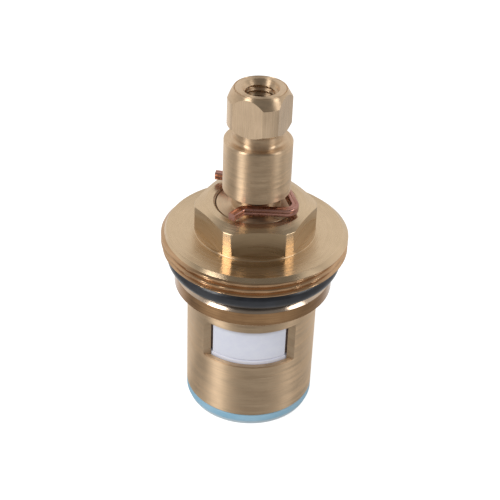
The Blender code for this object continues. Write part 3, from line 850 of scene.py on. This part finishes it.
def make_world():
    """White for the camera, a pale room for reflections, and plain light."""
    world = bpy.data.worlds.new("studio")
    bpy.context.scene.world = world
    world.use_nodes = True
    nodes, links = world.node_tree.nodes, world.node_tree.links
    ground = nodes["Background"]
    path = nodes.new("ShaderNodeLightPath").outputs
    direction = nodes.new("ShaderNodeSeparateXYZ")
    links.new(nodes.new("ShaderNodeTexCoord").outputs["Generated"], direction.inputs[0])
    low = between(nodes, links, direction.outputs["Z"], ROOM_HEIGHT, (1.0, 0.0))
    rear = between(nodes, links, direction.outputs["Y"], ROOM_DEPTH, (0.0, 1.0))
    room = math(nodes, links, "MULTIPLY", low, rear)
    room = math(nodes, links, "MULTIPLY_ADD", room, ROOM_REAR, ROOM_FRONT)
    shown = math(nodes, links, "MAXIMUM", room, path["Is Camera Ray"])
    strength = math(nodes, links, "MULTIPLY", seen_directly(nodes, links), shown)
    plain = math(nodes, links, "MULTIPLY", path["Is Diffuse Ray"], PLAIN_LIGHT)
    links.new(math(nodes, links, "ADD", strength, plain), ground.inputs["Strength"])
    ground.inputs["Color"].default_value = (1.0, 1.0, 1.0, 1.0)


def make_floor():
    """White floor that keeps the object's shadow."""
    corners = ((-1, -1), (1, -1), (1, 1), (-1, 1))
    floor = mesh_object(
        "floor", [(x * FLOOR_HALF, y * FLOOR_HALF, FLOOR_Z) for x, y in corners], [(0, 1, 2, 3)]
    )
    made, nodes, links, shader = tree_of("white_floor")
    shader.inputs["Roughness"].default_value = FLOOR_ROUGHNESS
    shader.inputs["Emission Color"].default_value = (1.0, 1.0, 1.0, 1.0)
    path = nodes.new("ShaderNodeLightPath").outputs
    spot = nodes.new("ShaderNodeSeparateXYZ")
    links.new(nodes.new("ShaderNodeNewGeometry").outputs["Position"], spot.inputs[0])
    ahead = math(nodes, links, "MULTIPLY", spot.outputs["Y"], -1.0)
    bearing = math(nodes, links, "ARCTAN2", spot.outputs["X"], ahead)
    bearing = math(nodes, links, "MULTIPLY_ADD", bearing, 0.5 / pi, 0.5)
    turns = [0.5 + row[0] / 360 for row in FLOOR_SHEEN]
    near, far = (
        ramp(nodes, links, bearing, zip(turns, ((row[column],) * 3 for row in FLOOR_SHEEN)))
        for column in (1, 2)
    )
    flat = nodes.new("ShaderNodeCombineXYZ")
    links.new(spot.outputs["X"], flat.inputs[0])
    links.new(spot.outputs["Y"], flat.inputs[1])
    reach = nodes.new("ShaderNodeVectorMath")
    reach.operation = "LENGTH"
    links.new(flat.outputs[0], reach.inputs[0])
    share = between(nodes, links, reach.outputs["Value"], (SHEEN_NEAR, SHEEN_FAR), (0.0, 1.0))
    sheen = blend(nodes, links, share, near, far)
    mirrored = math(nodes, links, "MAXIMUM", path["Is Glossy Ray"], path["Is Transmission Ray"])
    shown = math(nodes, links, "MULTIPLY", sheen, mirrored)
    shown = math(nodes, links, "MULTIPLY_ADD", path["Is Camera Ray"], FLOOR_GLOW, shown)
    links.new(shown, shader.inputs["Emission Strength"])
    matt = math(nodes, links, "MULTIPLY_ADD", mirrored, -FLOOR_COLOUR, FLOOR_COLOUR)
    links.new(matt, shader.inputs["Base Color"])
    shader.inputs["Specular IOR Level"].default_value = 0.0
    floor.data.materials.append(made)


def make_studio():
    """Room, floor and two soft lamps."""
    bpy.context.scene.view_settings.view_transform = "Standard"
    make_world()
    make_floor()
    for lamp in LAMPS:
        area_light(*lamp)


# Where each finish goes: tests of a face's middle, in millimetres, and its normal

def on_flange_top(place, normal):
    return place.z > FLANGE_SHOULDER_Z


def on_rim(place, normal):
    return place.z < FLANGE_SHOULDER_Z and place.xy.length > RIM_INSIDE_R


def on_hexagon(place, normal):
    on_flat = place.dot(normal) < HEX_ACROSS / 2 + NEAR
    return place.z > HEX_FLATS_Z and abs(normal.z) < UPRIGHT and on_flat


def on_sleeve(place, normal):
    return place.z < LIP_Z


def on_lip(place, normal):
    return LIP_Z - NEAR < place.z < LIP_EDGE_Z and place.xy.length > LIP_R - LIP_EDGE_BAND


def on_lip_chamfer(place, normal):
    high = LIP_EDGE_Z < place.z < LIP_EDGE_Z + LIP_CHAMFER
    return high and place.xy.length > LIP_R - LIP_CHAMFER


def on_square(place, normal):
    return place.z > SQUARE_Z and abs(normal.z) < UPRIGHT


def on_ledge(place, normal):
    return abs(place.xy.length - LEDGE_R) < NEAR and abs(normal.z) < UPRIGHT


make_camera()
make_studio()

# Metals: name, dark and light tone, roughness, stretch of highlights, depth of tool lines
brass = turned_metal(
    "turned_brass", (0.56, 0.41, 0.265), (0.82, 0.605, 0.4), 0.42, 0.92, 0.007
)
sleeve_brass = turned_metal(
    "sleeve_brass", (0.6, 0.44, 0.285), (0.8, 0.59, 0.39), 0.46, 0.9, 0.006
)
bright_brass = turned_metal(
    "bright_brass", (0.57, 0.42, 0.265), (0.7, 0.52, 0.335), 0.26, 0.92, 0.003
)
hexagon_brass = turned_metal(
    "hexagon_brass", (0.47, 0.345, 0.21), (0.59, 0.435, 0.27), 0.33, 0.8, 0.004
)
warm_brass = turned_metal(
    "warm_brass", (0.4, 0.245, 0.13), (0.64, 0.41, 0.24), 0.2, 0.3, 0.009
)
lip_brass = turned_metal(
    "lip_brass", (0.27, 0.145, 0.07), (0.52, 0.31, 0.155), 0.15, 0.25, 0.01
)
# Paler brass for the lip's top chamfer: a painted highlight, so the lamp's glint there comes out
# white
pale_highlight_brass = turned_metal(
    "pale_highlight_brass", (0.5, 0.38, 0.28), (0.7, 0.56, 0.44), 0.17, 0.3, 0.006
)
drawn_brass = turned_metal(
    "drawn_brass", (0.6, 0.44, 0.29), (0.87, 0.645, 0.435), 0.28, 0.5, 0.01, "bar"
)

# Other materials: name, two tones, roughness, scale and depth of the grain, metallic
bronze = speckled(
    "bronze_wire_finish", ((0.4, 0.19, 0.145), (0.55, 0.29, 0.23)), 0.28, 1200.0, 0.003, 1.0
)
rubber = speckled(
    "black_rubber_finish", ((0.006, 0.007, 0.011), (0.014, 0.017, 0.026)), 0.35, 2500.0, 0.004,
    coat=(0.35, 0.12),
)
# Painted shadow: the ceramic turns brownish grey from 17.0 to 18.4 mm high, where the window's top
# edge shades the disc
ceramic = speckled(
    "white_ceramic_finish", ((0.84, 0.86, 0.98), (0.88, 0.9, 1.0)), 0.35, 4000.0, 0.002,
    painted_light_bands=[(17.0, 18.4, (0.42, 0.36, 0.33))],
)
# Painted shade: dark brown ceramic for the recess ledge, standing for the shade in the gap at the
# window's sides
shaded_ledge_ceramic = speckled(
    "shaded_ledge_ceramic_finish", ((0.34, 0.24, 0.2), (0.42, 0.31, 0.26)), 0.4, 2500.0, 0.002
)
# Painted light: the seal turns pale below 1.1 mm, as if lit from the white floor
silicone = speckled(
    "blue_silicone_finish", ((0.3, 0.55, 0.72), (0.38, 0.62, 0.78)), 0.4, 900.0, 0.004,
    painted_light_bands=[(1.1, 0.3, (0.66, 0.75, 0.8))],
)
acetal = speckled(
    "white_acetal_finish", ((0.78, 0.78, 0.75), (0.84, 0.84, 0.81)), 0.45, 1500.0, 0.003
)
steel = speckled(
    "stainless_steel_finish", ((0.55, 0.55, 0.55), (0.66, 0.66, 0.66)), 0.3, 1500.0, 0.003, 1.0
)

# Later rows paint over earlier ones
HOUSING_PAINT = [
    (bright_brass, on_flange_top),
    (warm_brass, on_rim),
    (hexagon_brass, on_hexagon),
    (sleeve_brass, on_sleeve),
    (lip_brass, on_lip),
    # painted highlight on the lip's top chamfer
    (pale_highlight_brass, on_lip_chamfer),
]
housing = make_housing()
housing_finishes = [brass] + [finish for finish, test in HOUSING_PAINT]
dress(housing, "valve_body", housing_finishes, ["brass_housing"])
for finish, test in HOUSING_PAINT:
    paint(housing, finish, test)
spindle = make_spindle()
dress(spindle, "spindle_assembly", [brass, drawn_brass], ["spindle"])
paint(spindle, drawn_brass, on_square)
dress(make_clip(), "spindle_assembly", [bronze], ["spindle_clip"])
ring = lathe("o_ring", ring_profile(RING_R, RING_SECTION_R, RING_Z))
dress(ring, "valve_body", [rubber], ["body_o_ring"])
moving_disc = make_moving_disc()
dress(
    moving_disc, "spindle_assembly", [ceramic, shaded_ledge_ceramic],
    ["moving_ceramic_disc"],
)
# Paints the ledge faces dark brown: painted shade in the recess
paint(moving_disc, shaded_ledge_ceramic, on_ledge)
dress(make_fixed_disc(), "valve_body", [ceramic], ["fixed_ceramic_disc"])
dress(make_seal(), "valve_body", [silicone], ["base_seal"])

# CAD nodes that stay, with their finishes
for node, finish in (
    ("upper_spindle_o_ring", rubber),
    ("lower_spindle_o_ring", rubber),
    ("thrust_washer", acetal),
    ("seal_support_ring", steel),
):
    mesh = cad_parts[node].data
    mesh.materials.clear()
    mesh.materials.append(finish)
